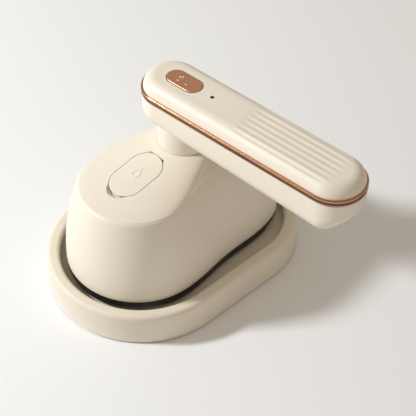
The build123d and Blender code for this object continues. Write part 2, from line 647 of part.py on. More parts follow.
with BuildPart() as body_shell:
    add(outer_form)
    add(inner_form, mode=Mode.SUBTRACT)
    split(bisect_by=Plane.XY.offset(lip_top + LIP_SEAM), keep=Keep.TOP)
    with BuildSketch(Plane.XY.offset(POST_FLANGE_Z - MOVING_GAP)):
        with Locations((NECK_X, 0)):
            Circle(POST_FLANGE_RADIUS + SEAT_GAP)
    extrude(amount=POST_FLANGE + MOVING_GAP, mode=Mode.SUBTRACT)
    with BuildSketch(Plane.XY.offset(lip_top + LIP_SEAM)):
        with Locations(*COLUMN_SPOTS):
            Circle(COLUMN_RADIUS)
    extrude(amount=SHIELD_Z - lip_top - LIP_SEAM)
    with BuildSketch(Plane.XY.offset(flange_top)):
        with Locations(*post_spots):
            Circle(SCREW_HEAD_RADIUS)
    extrude(amount=LANDING_Z - flange_top - SHELL_WALL / 2)
    with BuildSketch(Plane.XY.offset(flange_top)):
        with Locations(*post_spots):
            Circle(SCREW_RADIUS)
    extrude(amount=LANDING_Z - flange_top - SHELL_WALL / 2 - SEAT_GAP, mode=Mode.SUBTRACT)
    with BuildSketch(Plane.XY.offset(SKIRT_Z + SMALL_HEAD)):
        with Locations(*COLUMN_SPOTS):
            Circle(SMALL_SCREW_RADIUS)
    extrude(amount=COVER_SCREW_LENGTH, mode=Mode.SUBTRACT)
    with BuildSketch(Plane.XY.offset(SHIELD_Z)):
        with Locations(*COLUMN_SPOTS):
            Circle(SMALL_SCREW_RADIUS)
    extrude(amount=-COVER_SCREW_LENGTH, mode=Mode.SUBTRACT)
    with BuildSketch(Plane.XY.offset(POST_FLANGE_Z)):
        with Locations((NECK_X, 0)):
            Circle(POST_RADIUS + COLLAR_GAP)
        with Locations(stop_pin_spot):
            Circle(STOP_PIN_RADIUS)
    extrude(amount=LANDING_Z, mode=Mode.SUBTRACT)
    add(flap_prism(FLAP_GAP, -WELL_DEPTH, WELL_DEPTH), mode=Mode.SUBTRACT)
    add(hinge_relief.part, mode=Mode.SUBTRACT)
    add(swing_relief.part, mode=Mode.SUBTRACT)
    add(nail_notch.part, mode=Mode.SUBTRACT)
    with BuildSketch(hinge_plane):
        Circle(FLAP_PIN_RADIUS + RUNNING_CLEARANCE)
    extrude(amount=FLAP_PIN_LENGTH / 2 + SEAT_GAP, both=True, mode=Mode.SUBTRACT)
body_shell.part.label = "body_shell"
export_step(body_shell.part, "parts/body_shell.step")

# ---------------------------------------------------------------- water tank and filler
with BuildPart() as rough_well:
    add(flap_prism(WELL_WALL, -WELL_DEPTH, -SHELL_WALL / 2 - SEAT_GAP))
    add(flap_prism(FLAP_GAP, -FLAP_THICK - COLLAR_GAP, WELL_DEPTH), mode=Mode.SUBTRACT)
    add(flap_prism(-WELL_WALL, -WELL_DEPTH + WELL_FLOOR, WELL_DEPTH), mode=Mode.SUBTRACT)
    with BuildSketch(flap_plane.offset(-WELL_DEPTH + WELL_FLOOR)):
        with Locations((FILLER_X, 0)):
            Circle(FILLER_RADIUS + FILLER_RIM)
    extrude(amount=FILLER_RIM_HEIGHT)
    with BuildSketch(flap_plane.offset(-WELL_DEPTH)):
        with Locations((FILLER_X, 0)):
            Circle(FILLER_RADIUS)
    extrude(amount=WELL_DEPTH, mode=Mode.SUBTRACT)
    add(hinge_relief.part, mode=Mode.SUBTRACT)
    add(nail_notch.part, mode=Mode.SUBTRACT)
    add(body_shell.part, mode=Mode.SUBTRACT)
    with BuildSketch(hinge_plane):
        Circle(FLAP_PIN_RADIUS + RUNNING_CLEARANCE)
    extrude(amount=FLAP_PIN_LENGTH / 2 + SEAT_GAP, both=True, mode=Mode.SUBTRACT)

with BuildPart() as filler_well:
    add(rough_well.part.solids().sort_by(SortBy.VOLUME)[-1])
filler_well.part.label = "filler_well"
export_step(filler_well.part, "parts/filler_well.step")

filler_foot = flap_plane.from_local_coords(Vector(FILLER_X, 0, -WELL_DEPTH))
filler_plane = Plane(origin=filler_foot, x_dir=flap_plane.x_dir, z_dir=flap_plane.z_dir)

with BuildPart() as water_tank:
    with Locations((TANK_X, 0, TANK_BOTTOM_Z)):
        Cylinder(TANK_RADIUS, TANK_TOP_Z - TANK_BOTTOM_Z, align=(Align.CENTER, Align.CENTER, Align.MIN))
    fillet(water_tank.edges().filter_by(GeomType.CIRCLE), TANK_ROUND)
    with Locations((TANK_X, 0, TANK_BOTTOM_Z + TANK_WALL)):
        Cylinder(TANK_RADIUS - TANK_WALL, TANK_TOP_Z - TANK_BOTTOM_Z - 2 * TANK_WALL,
                 align=(Align.CENTER, Align.CENTER, Align.MIN), mode=Mode.SUBTRACT)
    with BuildSketch(Plane.XY.offset(TANK_BOTTOM_Z)):
        with Locations(feed_spot):
            Circle(FEED_BORE)
    extrude(amount=TANK_WALL, mode=Mode.SUBTRACT)
    with BuildSketch(filler_plane):
        Circle(FILLER_RADIUS)
    extrude(amount=-(filler_foot.Z - TANK_TOP_Z) - 2 * TANK_WALL - FILLER_RIM, mode=Mode.SUBTRACT)
water_tank.part.label = "water_tank"
export_step(water_tank.part, "parts/water_tank.step")

with BuildPart() as filler_sleeve:
    with BuildSketch(filler_plane):
        Circle(FILLER_RADIUS + FILLER_RIM)
        Circle(FILLER_RADIUS, mode=Mode.SUBTRACT)
    extrude(amount=-2 * (filler_foot.Z - TANK_TOP_Z))
    split(bisect_by=Plane.XY.offset(TANK_TOP_Z), keep=Keep.TOP)
filler_sleeve.part.label = "filler_sleeve"
export_step(filler_sleeve.part, "parts/filler_sleeve.step")

with BuildPart() as feed_tube:
    with BuildSketch(Plane.XY.offset(cover_top)):
        with Locations(feed_spot):
            Circle(FEED_RADIUS)
            Circle(FEED_BORE, mode=Mode.SUBTRACT)
    extrude(amount=TANK_BOTTOM_Z - cover_top)
feed_tube.part.label = "feed_tube"
export_step(feed_tube.part, "parts/feed_tube.step")

with BuildPart() as flap_emblem:
    with BuildSketch(flap_plane.offset(-EMBLEM_SINK)):
        for size, mode in ((EMBLEM_SIZE, Mode.ADD), (EMBLEM_SIZE - EMBLEM_LINE, Mode.SUBTRACT)):
            Circle(size, mode=mode)
            with BuildLine():
                tip = (2 * size, 0)
                side = size * 3**0.5 / 2
                Polyline((size / 2, side), tip, (size / 2, -side), close=True)
            make_face(mode=mode)
    extrude(amount=EMBLEM_SINK + EMBLEM_PROUD)
flap_emblem.part.label = "flap_emblem"
export_step(flap_emblem.part, "parts/flap_emblem.step")

with BuildPart() as filler_flap:
    add(outer_form)
    add(flap_prism(0, -FLAP_THICK, WELL_DEPTH), mode=Mode.INTERSECT)
    chamfer(filler_flap.faces().sort_by(Axis(flap_plane.origin, flap_plane.z_dir))[0].edges(), FLAP_UNDERCUT)
    add(flap_emblem.part, mode=Mode.SUBTRACT)
    with BuildSketch(hinge_plane):
        Circle(FLAP_PIN_RADIUS)
    extrude(amount=FLAP_WIDTH, both=True, mode=Mode.SUBTRACT)
filler_flap.part.label = "filler_flap"
export_step(filler_flap.part, "parts/filler_flap.step")

with BuildPart() as flap_pin:
    with BuildSketch(hinge_plane):
        Circle(FLAP_PIN_RADIUS)
    extrude(amount=FLAP_PIN_LENGTH / 2, both=True)
flap_pin.part.label = "flap_pin"
export_step(flap_pin.part, "parts/flap_pin.step")

seal_z = -WELL_DEPTH + WELL_FLOOR + FILLER_RIM_HEIGHT + SEAT_GAP
with BuildPart() as filler_seal:
    with BuildSketch(flap_plane.offset(seal_z)):
        with Locations((FILLER_X, 0)):
            Circle(FILLER_RADIUS + FILLER_RIM)
    extrude(amount=SEAL_THICK)
    with BuildSketch(flap_plane.offset(seal_z)):
        with Locations((FILLER_X, 0)):
            Circle(FILLER_RADIUS / 2)
    extrude(amount=-FLAP_THICK - seal_z)
filler_seal.part.label = "filler_seal"
export_step(filler_seal.part, "parts/filler_seal.step")

# ---------------------------------------------------------------- neck and swivel
with BuildPart() as pivot_post:
    with BuildSketch(Plane.XY.offset(POST_FLANGE_Z)):
        with Locations((NECK_X, 0)):
            Circle(POST_FLANGE_RADIUS)
        with Locations(*post_spots):
            Circle(SCREW_RADIUS + SEAT_GAP, mode=Mode.SUBTRACT)
    extrude(amount=POST_FLANGE)
    with BuildSketch(Plane.XY.offset(POST_FLANGE_Z)):
        with Locations((NECK_X, 0)):
            Circle(POST_RADIUS)
    extrude(amount=POST_TOP_Z - POST_FLANGE_Z)
    with BuildSketch(Plane.XY.offset(CLIP_Z - SEAT_GAP)):
        with Locations((NECK_X, 0)):
            Circle(POST_RADIUS)
            Circle(POST_RADIUS - CLIP_GROOVE, mode=Mode.SUBTRACT)
    extrude(amount=CLIP_THICK + 2 * SEAT_GAP, mode=Mode.SUBTRACT)
    with BuildSketch(Plane.XY.offset(POST_FLANGE_Z)):
        with Locations((NECK_X, 0)):
            Circle(POST_BORE)
    extrude(amount=POST_TOP_Z, mode=Mode.SUBTRACT)
pivot_post.part.label = "pivot_post"
export_step(pivot_post.part, "parts/pivot_post.step")

with BuildPart() as post_screws:
    add(screws(Plane.XY.offset(POST_FLANGE_Z), post_spots, SCREW_HEAD_RADIUS, SCREW_HEAD,
               LANDING_Z - POST_FLANGE_Z - SHELL_WALL))
post_screws.part.label = "post_screws"
export_step(post_screws.part, "parts/post_screws.step")

with BuildPart() as stop_pin:
    with BuildSketch(Plane.XY.offset(stop_pin_z)):
        with Locations(stop_pin_spot):
            Circle(STOP_PIN_RADIUS)
    extrude(amount=LANDING_Z + STOP_PIN_HEIGHT - stop_pin_z)
stop_pin.part.label = "stop_pin"
export_step(stop_pin.part, "parts/stop_pin.step")

with BuildPart() as wiring_loom:
    with BuildSketch(Plane.XY.offset(SHIELD_Z - SHIELD_THICK)):
        with Locations((NECK_X, 0)):
            Circle(LOOM_RADIUS)
    extrude(amount=POST_TOP_Z + CLIP_THICK - SHIELD_Z)
    fillet(wiring_loom.edges().group_by(Axis.Z)[-1], LOOM_RADIUS / 2)
wiring_loom.part.label = "wiring_loom"
export_step(wiring_loom.part, "parts/wiring_loom.step")


inlet_tilt = radians(INLET_TILT)
corner_reach = HANDLE_REACH + HANDLE_RADIUS - BAND_PROUD
corner_z = UNDERSIDE_Z - corner_reach * tan(radians(UNDERSIDE_SLOPE))
facet_plane = Plane(
    origin=handle_plane(corner_z + INLET_CORNER_CUT * sin(inlet_tilt)).from_local_coords(
        Vector(corner_reach - INLET_CORNER_CUT * cos(inlet_tilt), 0, 0)),
    x_dir=handle_plane(0).y_dir,
    z_dir=handle_plane(0).x_dir * cos(inlet_tilt) - Vector(0, 0, sin(inlet_tilt)),
)
inlet_plane = facet_plane.offset(INLET_PROUD - INLET_LENGTH)


def handle_form(inset, top):
    """Handle's lower half below the band, with its sloping underside and rounded lower edge."""
    low = BAND_Z - HANDLE_REACH / 2
    with BuildPart() as form:
        extrude(handle_plan(low, HANDLE_RADIUS - BAND_PROUD - inset), amount=top - low)
        tilt = radians(UNDERSIDE_SLOPE)
        along = handle_plane(0).x_dir
        underside = Plane(origin=(NECK_X, 0, UNDERSIDE_Z + inset),
                          z_dir=(sin(tilt) * along.X, sin(tilt) * along.Y, cos(tilt)))
        split(bisect_by=underside, keep=Keep.TOP)
        split(bisect_by=facet_plane.offset(-inset), keep=Keep.BOTTOM)
        rim = form.edges().filter_by(Axis.Z, reverse=True).filter_by(lambda edge: edge.center().Z < BAND_Z)
        fillet(rim, UNDERSIDE_ROUND - inset)
    return form.part


lower_form = handle_form(0, BAND_Z)
lower_core = handle_form(HANDLE_WALL, BAND_Z + BAND_HEIGHT)
handle_screw_spots = [(reach, 0) for reach in HANDLE_SCREW_REACHES]
screw_seat_z = UNDERSIDE_Z + HANDLE_WALL + SCREW_HEAD
neck_screw_spots = [(STOP_PIN_CIRCLE * cos(radians(a)), STOP_PIN_CIRCLE * sin(radians(a)))
                    for a in NECK_SCREW_ANGLES]
neck_seat_z = UNDERSIDE_Z + HANDLE_WALL - SMALL_HEAD / 2
dome_base_z = BAND_Z + DOME_SEAT
dome_radius = HANDLE_RADIUS - DOME_INSET

with BuildPart() as handle_lower:
    add(lower_form)
    add(lower_core, mode=Mode.SUBTRACT)
    with BuildSketch(handle_plane(UNDERSIDE_Z - HANDLE_WALL)):
        with Locations(*handle_screw_spots):
            Circle(HANDLE_BOSS_RADIUS)
    extrude(amount=BAND_Z - UNDERSIDE_Z + HANDLE_WALL)
    with BuildSketch(handle_plane(UNDERSIDE_Z - 3 * HANDLE_WALL)):
        with Locations(*handle_screw_spots):
            Circle(SCREW_HEAD_RADIUS + SEAT_GAP)
    extrude(amount=screw_seat_z - UNDERSIDE_Z + 3 * HANDLE_WALL, mode=Mode.SUBTRACT)
    with BuildSketch(handle_plane(screw_seat_z)):
        with Locations(*handle_screw_spots):
            Circle(SCREW_RADIUS + SEAT_GAP)
    extrude(amount=BAND_Z, mode=Mode.SUBTRACT)
    with BuildSketch(handle_plane(UNDERSIDE_Z - HANDLE_WALL)):
        Circle(NECK_BORE)
        with Locations(*neck_screw_spots):
            Circle(SMALL_SCREW_RADIUS + SEAT_GAP)
    extrude(amount=3 * HANDLE_WALL, mode=Mode.SUBTRACT)
    with BuildSketch(handle_plane(neck_seat_z)):
        with Locations(*neck_screw_spots):
            Circle(SMALL_HEAD_RADIUS + SEAT_GAP)
    extrude(amount=2 * HANDLE_WALL, mode=Mode.SUBTRACT)
    with BuildSketch(inlet_plane):
        Circle(INLET_RADIUS + SEAT_GAP)
    extrude(amount=2 * INLET_LENGTH, mode=Mode.SUBTRACT)
handle_lower.part.label = "handle_lower"
export_step(handle_lower.part, "parts/handle_lower.step")

with BuildLine() as stop_path:
    CenterArc((0, 0), STOP_PIN_CIRCLE, 180 - SWIVEL_HALF_TURN, 2 * SWIVEL_HALF_TURN)
stop_arc = stop_path.edge()

with BuildPart() as neck_sleeve:
    with BuildSketch(handle_plane(LANDING_Z + MOVING_GAP)):
        Circle(NECK_RADIUS)
        Circle(NECK_BORE, mode=Mode.SUBTRACT)
    extrude(amount=UNDERSIDE_Z - LANDING_Z + UNDERSIDE_ROUND)
    add(lower_form, mode=Mode.SUBTRACT)
    with BuildSketch(handle_plane(LANDING_Z + MOVING_GAP)):
        SlotArc(stop_arc, 2 * (STOP_PIN_RADIUS + MOVING_GAP))
    extrude(amount=STOP_PIN_HEIGHT, mode=Mode.SUBTRACT)
    with BuildSketch(handle_plane(UNDERSIDE_Z - COVER_SCREW_LENGTH)):
        with Locations(*neck_screw_spots):
            Circle(SMALL_SCREW_RADIUS)
    extrude(amount=UNDERSIDE_Z, mode=Mode.SUBTRACT)
neck_sleeve.part.label = "neck_sleeve"
export_step(neck_sleeve.part, "parts/neck_sleeve.step")

down_plane = Plane(origin=(NECK_X, 0, neck_seat_z), x_dir=handle_plane(0).x_dir, z_dir=(0, 0, -1))
with BuildPart() as neck_screws:
    add(screws(down_plane, [(x, -y) for x, y in neck_screw_spots], SMALL_HEAD_RADIUS, SMALL_HEAD,
               neck_seat_z - UNDERSIDE_Z + COVER_SCREW_LENGTH, SMALL_SCREW_RADIUS))
neck_screws.part.label = "neck_screws"
export_step(neck_screws.part, "parts/neck_screws.step")

bush_top = CLIP_Z - MOVING_GAP - WASHER_THICK
with BuildPart() as pivot_bush:
    with BuildSketch(handle_plane(LANDING_Z + MOVING_GAP)):
        Circle(NECK_BORE - BUSH_SEAT)
        Circle(POST_RADIUS + RUNNING_CLEARANCE, mode=Mode.SUBTRACT)
    extrude(amount=bush_top - LANDING_Z - MOVING_GAP)
pivot_bush.part.label = "pivot_bush"
export_step(pivot_bush.part, "parts/pivot_bush.step")

with BuildPart() as wave_washer:
    with BuildSketch(handle_plane(bush_top)):
        Circle(NECK_BORE - SEAT_GAP)
        Circle(POST_RADIUS + SEAT_GAP, mode=Mode.SUBTRACT)
    extrude(amount=WASHER_THICK)
wave_washer.part.label = "wave_washer"
export_step(wave_washer.part, "parts/wave_washer.step")

with BuildPart() as retaining_clip:
    with BuildSketch(Plane.XY.offset(CLIP_Z)):
        with Locations((NECK_X, 0)):
            Circle(NECK_BORE)
            Circle(POST_RADIUS - CLIP_GROOVE + SEAT_GAP, mode=Mode.SUBTRACT)
        with Locations((NECK_X + NECK_BORE, 0)):
            Rectangle(NECK_BORE, POST_RADIUS, mode=Mode.SUBTRACT)
    extrude(amount=CLIP_THICK)
retaining_clip.part.label = "retaining_clip"
export_step(retaining_clip.part, "parts/retaining_clip.step")

# ---------------------------------------------------------------- handle shells and trim
with BuildPart() as handle_screws:
    add(screws(handle_plane(screw_seat_z), handle_screw_spots, SCREW_HEAD_RADIUS, SCREW_HEAD,
               BAND_Z + BAND_HEIGHT - screw_seat_z))
handle_screws.part.label = "handle_screws"
export_step(handle_screws.part, "parts/handle_screws.step")

with BuildPart() as screw_plugs:
    with BuildSketch(handle_plane(UNDERSIDE_Z - 3 * HANDLE_WALL)):
        with Locations(*handle_screw_spots):
            Circle(SCREW_HEAD_RADIUS)
    extrude(amount=3 * HANDLE_WALL)
    add(lower_form, mode=Mode.INTERSECT)
screw_plugs.part.label = "screw_plugs"
export_step(screw_plugs.part, "parts/screw_plugs.step")

with BuildPart() as trim_band:
    extrude(handle_plan(BAND_Z, HANDLE_RADIUS), amount=BAND_HEIGHT)
    fillet(trim_band.edges().group_by(Axis.Z)[0], BAND_ROUND)
    fillet(trim_band.edges().group_by(Axis.Z)[-1], BAND_ROUND / 2)
    extrude(handle_plan(dome_base_z, dome_radius + BUSH_SEAT), amount=BAND_HEIGHT, mode=Mode.SUBTRACT)
    extrude(handle_plan(BAND_Z, HANDLE_RADIUS - BAND_PROUD - HANDLE_WALL), amount=BAND_HEIGHT,
            mode=Mode.SUBTRACT)
    with BuildSketch(Plane.XY.offset(BAND_Z + BAND_GROOVE_RISE)):
        add(handle_plan(0, HANDLE_RADIUS + BAND_PROUD))
        add(handle_plan(0, HANDLE_RADIUS - BAND_GROOVE_DEPTH), mode=Mode.SUBTRACT)
    extrude(amount=BAND_GROOVE, mode=Mode.SUBTRACT)
trim_band.part.label = "trim_band"
export_step(trim_band.part, "parts/trim_band.step")

with BuildPart() as trim_inlay:
    with BuildSketch(Plane.XY.offset(BAND_Z + BAND_GROOVE_RISE)):
        add(handle_plan(0, HANDLE_RADIUS - BUSH_SEAT))
        add(handle_plan(0, HANDLE_RADIUS - BAND_GROOVE_DEPTH), mode=Mode.SUBTRACT)
    extrude(amount=BAND_GROOVE)
trim_inlay.part.label = "trim_inlay"
export_step(trim_inlay.part, "parts/trim_inlay.step")


def flute_cutter(side):
    """Long round cutter whose ends climb gently out of the dome, at one distance from its middle."""
    flat_half = dome_radius - DOME_ROUND
    past = max(0.0, abs(side) - flat_half)
    lean = asin(past / DOME_ROUND) * (1 if side > 0 else -1)
    surface_z = DOME_TOP_Z - DOME_ROUND + DOME_ROUND * cos(lean)
    centre = handle_plane(surface_z + (FLUTE_RADIUS - FLUTE_DEPTH) * cos(lean)).from_local_coords(
        Vector(FLUTE_START, side + (FLUTE_RADIUS - FLUTE_DEPTH) * sin(lean), 0))
    along = handle_plane(0).x_dir
    outward = Vector(0, 0, cos(lean)) + handle_plane(0).y_dir * sin(lean)
    length = FLUTE_END - FLUTE_START
    climb = 2 * FLUTE_DEPTH
    first = centre - along * FLUTE_FADE + outward * climb
    last = centre + along * (length + FLUTE_FADE) + outward * climb
    with BuildPart() as cutter:
        with BuildLine() as path:
            Bezier(first, centre - along * FLUTE_FADE / 2, centre)
            Line(centre, centre + along * length)
            Bezier(centre + along * length, centre + along * (length + FLUTE_FADE / 2), last)
        with BuildSketch(Plane(origin=path.line @ 0, z_dir=path.line % 0)):
            Circle(FLUTE_RADIUS)
        sweep(path=path.line)
    return cutter.part


with BuildPart() as dome_core:
    extrude(handle_plan(dome_base_z, dome_radius - DOME_WALL), amount=DOME_TOP_Z - DOME_WALL - dome_base_z)
    fillet(dome_core.edges().group_by(Axis.Z)[-1], DOME_ROUND - DOME_WALL)

board_top = BOARD_Z + BOARD_THICK
board_post_spots = [(reach, side) for reach in BOARD_POST_REACHES
                    for side in (-BOARD_POST_SIDE, BOARD_POST_SIDE)]
flange_top_z = DOME_TOP_Z - DOME_WALL - MOVING_GAP

with BuildPart() as handle_upper:
    extrude(handle_plan(dome_base_z, dome_radius), amount=DOME_TOP_Z - dome_base_z)
    fillet(handle_upper.edges().group_by(Axis.Z)[-1], DOME_ROUND)
    add(dome_core.part, mode=Mode.SUBTRACT)
    with BuildSketch(handle_plane(BAND_Z + SEAT_GAP)):
        with Locations(*handle_screw_spots):
            Circle(HANDLE_BOSS_RADIUS)
    extrude(amount=DOME_TOP_Z - DOME_WALL / 2 - BAND_Z - SEAT_GAP)
    with BuildSketch(handle_plane(BAND_Z)):
        with Locations(*handle_screw_spots):
            Circle(SCREW_RADIUS)
    extrude(amount=BAND_HEIGHT, mode=Mode.SUBTRACT)
    with BuildSketch(handle_plane(board_top)):
        with Locations(*board_post_spots):
            Circle(BOARD_POST_RADIUS)
    extrude(amount=DOME_TOP_Z - DOME_WALL / 2 - board_top)
    with BuildSketch(handle_plane(board_top)):
        with Locations(*board_post_spots):
            Circle(SMALL_SCREW_RADIUS)
    extrude(amount=BAND_HEIGHT, mode=Mode.SUBTRACT)
    with BuildSketch(handle_plane(dome_base_z)):
        SlotOverall(BUTTON_LENGTH + 2 * BUTTON_GAP, BUTTON_WIDTH + 2 * BUTTON_GAP)
        with Locations((LED_REACH, 0)):
            Circle(LED_HOLE_RADIUS)
    extrude(amount=DOME_TOP_Z, mode=Mode.SUBTRACT)
    for flute in range(FLUTE_COUNT):
        add(flute_cutter((flute - (FLUTE_COUNT - 1) / 2) * FLUTE_PITCH), mode=Mode.SUBTRACT)
handle_upper.part.label = "handle_upper"
export_step(handle_upper.part, "parts/handle_upper.step")

# ---------------------------------------------------------------- handle fittings
with BuildPart() as power_button:
    with BuildSketch(handle_plane(flange_top_z - BUTTON_FLANGE)):
        SlotOverall(BUTTON_LENGTH, BUTTON_WIDTH)
    extrude(amount=DOME_TOP_Z + BUTTON_PROUD - flange_top_z + BUTTON_FLANGE)
    fillet(power_button.edges().group_by(Axis.Z)[-1], BUTTON_PROUD)
    with BuildSketch(handle_plane(flange_top_z - BUTTON_FLANGE)):
        SlotOverall(BUTTON_LENGTH + 2 * BUTTON_FLANGE, BUTTON_WIDTH + 2 * BUTTON_FLANGE)
    extrude(amount=BUTTON_FLANGE)
    with BuildSketch(handle_plane(flange_top_z - BUTTON_FLANGE)):
        Circle(BUTTON_STEM_RADIUS)
    stem_z = board_top + SWITCH_HEIGHT + BUTTON_TRAVEL + MOVING_GAP
    extrude(amount=stem_z - flange_top_z + BUTTON_FLANGE)
power_button.part.label = "power_button"
export_step(power_button.part, "parts/power_button.step")

with BuildPart() as circuit_board:
    with BuildSketch(handle_plane(BOARD_Z)):
        with Locations(((BOARD_START + BOARD_END) / 2, 0)):
            RectangleRounded(BOARD_END - BOARD_START, 2 * BOARD_HALF_WIDTH, BOARD_POST_RADIUS)
        with Locations(*board_post_spots):
            Circle(SMALL_SCREW_RADIUS + SEAT_GAP, mode=Mode.SUBTRACT)
    extrude(amount=BOARD_THICK)
circuit_board.part.label = "circuit_board"
export_step(circuit_board.part, "parts/circuit_board.step")

with BuildPart() as board_screws:
    add(screws(handle_plane(BOARD_Z), board_post_spots, SMALL_HEAD_RADIUS, SMALL_HEAD,
               BOARD_THICK + BAND_HEIGHT - SEAT_GAP, SMALL_SCREW_RADIUS))
board_screws.part.label = "board_screws"
export_step(board_screws.part, "parts/board_screws.step")

with BuildPart() as tact_switch:
    with BuildSketch(handle_plane(board_top)):
        RectangleRounded(SWITCH_SIDE, SWITCH_SIDE, SEAT_GAP)
    extrude(amount=SWITCH_HEIGHT)
tact_switch.part.label = "tact_switch"
export_step(tact_switch.part, "parts/tact_switch.step")

with BuildPart() as status_led:
    with BuildSketch(handle_plane(board_top)):
        with Locations((LED_REACH, 0)):
            Rectangle(2 * LED_HOLE_RADIUS, 2 * LED_HOLE_RADIUS)
    extrude(amount=SWITCH_HEIGHT)
status_led.part.label = "status_led"
export_step(status_led.part, "parts/status_led.step")

with BuildPart() as led_lens:
    with BuildSketch(handle_plane(board_top + SWITCH_HEIGHT)):
        with Locations((LED_REACH, 0)):
            Circle(LED_HOLE_RADIUS - LENS_CLEARANCE)
    extrude(amount=DOME_TOP_Z - 2 * SEAT_GAP - board_top - SWITCH_HEIGHT)
led_lens.part.label = "led_lens"
export_step(led_lens.part, "parts/led_lens.step")

with BuildPart() as cord_inlet:
    with BuildSketch(inlet_plane):
        Circle(INLET_RADIUS)
    extrude(amount=INLET_LENGTH)
    fillet(cord_inlet.edges().filter_by(GeomType.CIRCLE).sort_by(Axis.Z)[0], INLET_RING_WIDTH / 2)
    with BuildSketch(inlet_plane):
        Circle(INLET_BORE)
    extrude(amount=INLET_LENGTH, mode=Mode.SUBTRACT)
    with BuildSketch(inlet_plane.offset(INLET_LENGTH - INLET_RING_WIDTH)):
        Circle(INLET_BORE + INLET_RING_WIDTH)
    extrude(amount=INLET_RING_WIDTH, mode=Mode.SUBTRACT)
cord_inlet.part.label = "cord_inlet"
export_step(cord_inlet.part, "parts/cord_inlet.step")

with BuildPart() as inlet_ring:
    with BuildSketch(inlet_plane.offset(INLET_LENGTH - INLET_RING_WIDTH)):
        Circle(INLET_BORE + INLET_RING_WIDTH)
        Circle(INLET_BORE, mode=Mode.SUBTRACT)
    extrude(amount=INLET_RING_WIDTH)
inlet_ring.part.label = "inlet_ring"
export_step(inlet_ring.part, "parts/inlet_ring.step")
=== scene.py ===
"""Looks of a cream travel steam iron resting in its cradle tray, laid out as a Blender add-on."""
import math

import bpy
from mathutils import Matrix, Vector


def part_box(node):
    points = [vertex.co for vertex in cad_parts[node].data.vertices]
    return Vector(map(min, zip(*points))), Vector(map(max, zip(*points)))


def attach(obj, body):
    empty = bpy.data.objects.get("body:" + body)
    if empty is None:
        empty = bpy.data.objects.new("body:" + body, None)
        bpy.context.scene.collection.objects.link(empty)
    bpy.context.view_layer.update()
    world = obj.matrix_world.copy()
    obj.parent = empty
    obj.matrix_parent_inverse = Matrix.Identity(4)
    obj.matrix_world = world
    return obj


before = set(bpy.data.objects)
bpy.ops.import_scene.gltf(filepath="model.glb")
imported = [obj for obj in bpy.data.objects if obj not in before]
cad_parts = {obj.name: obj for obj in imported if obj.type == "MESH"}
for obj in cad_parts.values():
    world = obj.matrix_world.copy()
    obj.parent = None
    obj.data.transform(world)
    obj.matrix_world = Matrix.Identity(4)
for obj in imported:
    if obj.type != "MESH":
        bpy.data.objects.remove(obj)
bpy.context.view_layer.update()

bl_info = {
    "name": "Travel steam iron",
    "version": (1, 0, 0),
    "blender": (4, 5, 0),
    "location": "View3D > Sidebar > Iron",
    "description": "Finishes and fine detail for a small cream steam iron and its tray",
    "category": "Object",
}

MM = 0.001
HANDLE_TURN = math.radians(5.3)
RUBBED_CREAM = (0.88, 0.82, 0.72, 1)

# Icons on the power button, in millimetres along and across the handle from the button's middle
ICON_LINE = 0.11
RING_ALONG = 2.5
RING_RADIUS = 1.9
RING_GAP_HALF = 40
RING_STEP = 14
RING_POINTS = 21
SHACKLE_ALONG = -2.6
SHACKLE_RADIUS = 1.1
SHACKLE_STEP = 18
SHACKLE_POINTS = 11
LOCK_HALF = 1.7
LOCK_TOP = 0.5
LOCK_BOTTOM = -2.0

# Stage, in metres and watts
FLOOR_SIZE = 6.0
FLOOR_ROUGHNESS = 0.7
WINDOW_PLACE = Vector((-0.68, 0.62, 0.77))
WINDOW_TINT = (0.93, 0.97, 1.0)
TARGET_INSET = 0.030
TARGET_SIDE = 0.01116
SENSOR_WIDTH = 36.0


# ---------------------------------------------------------------- settings
def colour(name, description, value):
    """A colour property with four channels."""
    return bpy.props.FloatVectorProperty(name=name, description=description, subtype="COLOR", size=4,
                                         min=0.0, max=1.0, default=(*value, 1.0))


def length(name, description, value):
    """A length property in metres."""
    return bpy.props.FloatProperty(name=name, description=description, default=value, min=0.0,
                                   precision=5, unit="LENGTH")


class PlasticSettings(bpy.types.PropertyGroup):
    """Colours of the moulded cream plastics."""

    shell: colour("Shell", "Cream plastic of the body and handle", (0.83, 0.765, 0.655))
    tray: colour("Tray", "Cream plastic of the cradle tray", (0.79, 0.715, 0.60))
    grain: length("Grain", "Size of the fine mould grain", 0.0004)
    roughness: bpy.props.FloatProperty(name="Roughness", description="Satin of the mouldings",
                                       default=0.42, min=0.0, max=1.0)


class MetalSettings(bpy.types.PropertyGroup):
    """Colours of the plated and anodised metals."""

    button: colour("Button", "Copper anodising of the power button", (0.80, 0.44, 0.285))
    band: colour("Band", "Polished rose-gold plating of the handle's band", (0.56, 0.27, 0.15))
    brass: colour("Brass", "Brass ring of the cord socket", (0.78, 0.55, 0.25))
    steel: colour("Steel", "Zinc plating of the screws", (0.55, 0.56, 0.57))


class SoleSettings(bpy.types.PropertyGroup):
    """Colours of the soleplate and the rubber parts."""

    coating: colour("Coating", "Non-stick coating of the soleplate", (0.012, 0.011, 0.010))
    skirt: colour("Skirt", "Heat-proof plastic of the skirt", (0.007, 0.007, 0.008))
    silicone: colour("Silicone", "Grey silicone of the pads and seals", (0.17, 0.165, 0.155))


